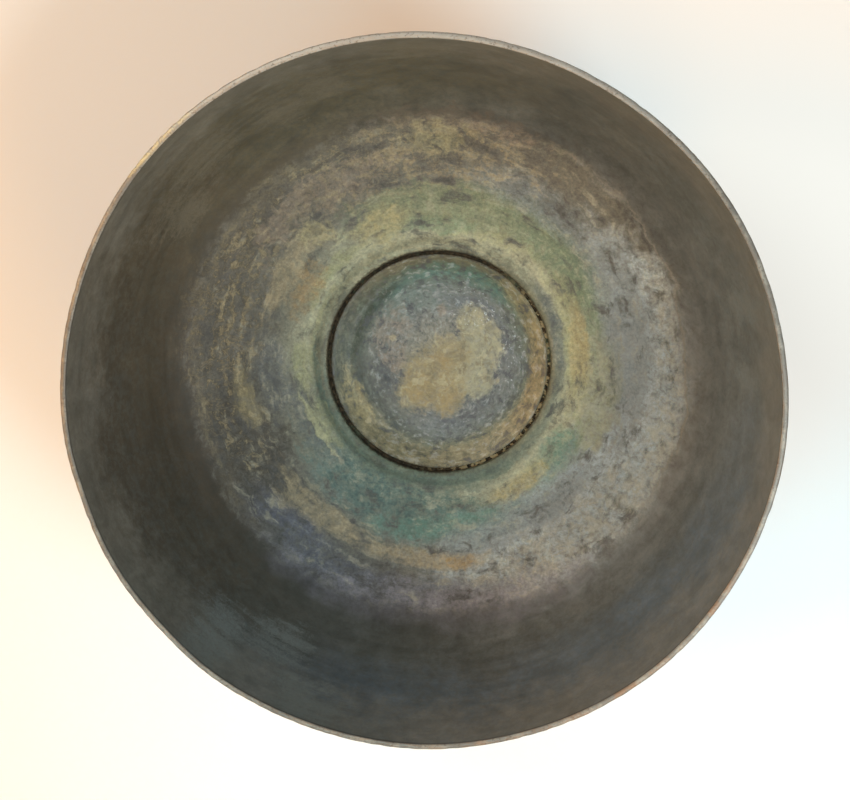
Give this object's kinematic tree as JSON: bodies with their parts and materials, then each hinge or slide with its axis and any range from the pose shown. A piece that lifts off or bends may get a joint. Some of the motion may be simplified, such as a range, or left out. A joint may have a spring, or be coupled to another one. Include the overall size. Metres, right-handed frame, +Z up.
{
  "type": "hammered copper bowl",
  "caption": "Deep hand-raised copper bowl, tinned inside, with a dished base disc soldered into its floor and a flared ring foot.",
  "frame": {"origin": "middle of the foot's rest face, on the bowl's axis", "axes": "+Z up along the bowl's axis; the bowl is round, so +X and +Y are free"},
  "size_m": [0.25, 0.25, 0.105],
  "materials": {
    "copper_old": "hammered copper with brown patina, worn bright on the lip",
    "tin_dark": "old wiped tin, dark grey, stained green, tan and blue on the floor",
    "copper_dish": "planished copper disc with brown patina",
    "tin_dish": "old wiped tin, stained ochre, teal and slate",
    "solder_dirty": "old solder, black-brown with dirt and verdigris",
    "copper_foot": "hammered copper with brown patina, rubbed on the rest face",
    "solder_grey": "dull lumpy solder"
  },
  "bodies": {
    "root": {"bowl_body": "copper_old", "shell_tin": "tin_dark", "base_dish": "copper_dish", "dish_tin": "tin_dish", "dish_solder": "solder_dirty", "foot_ring": "copper_foot", "foot_solder": "solder_grey"}
  },
  "joints": []
}
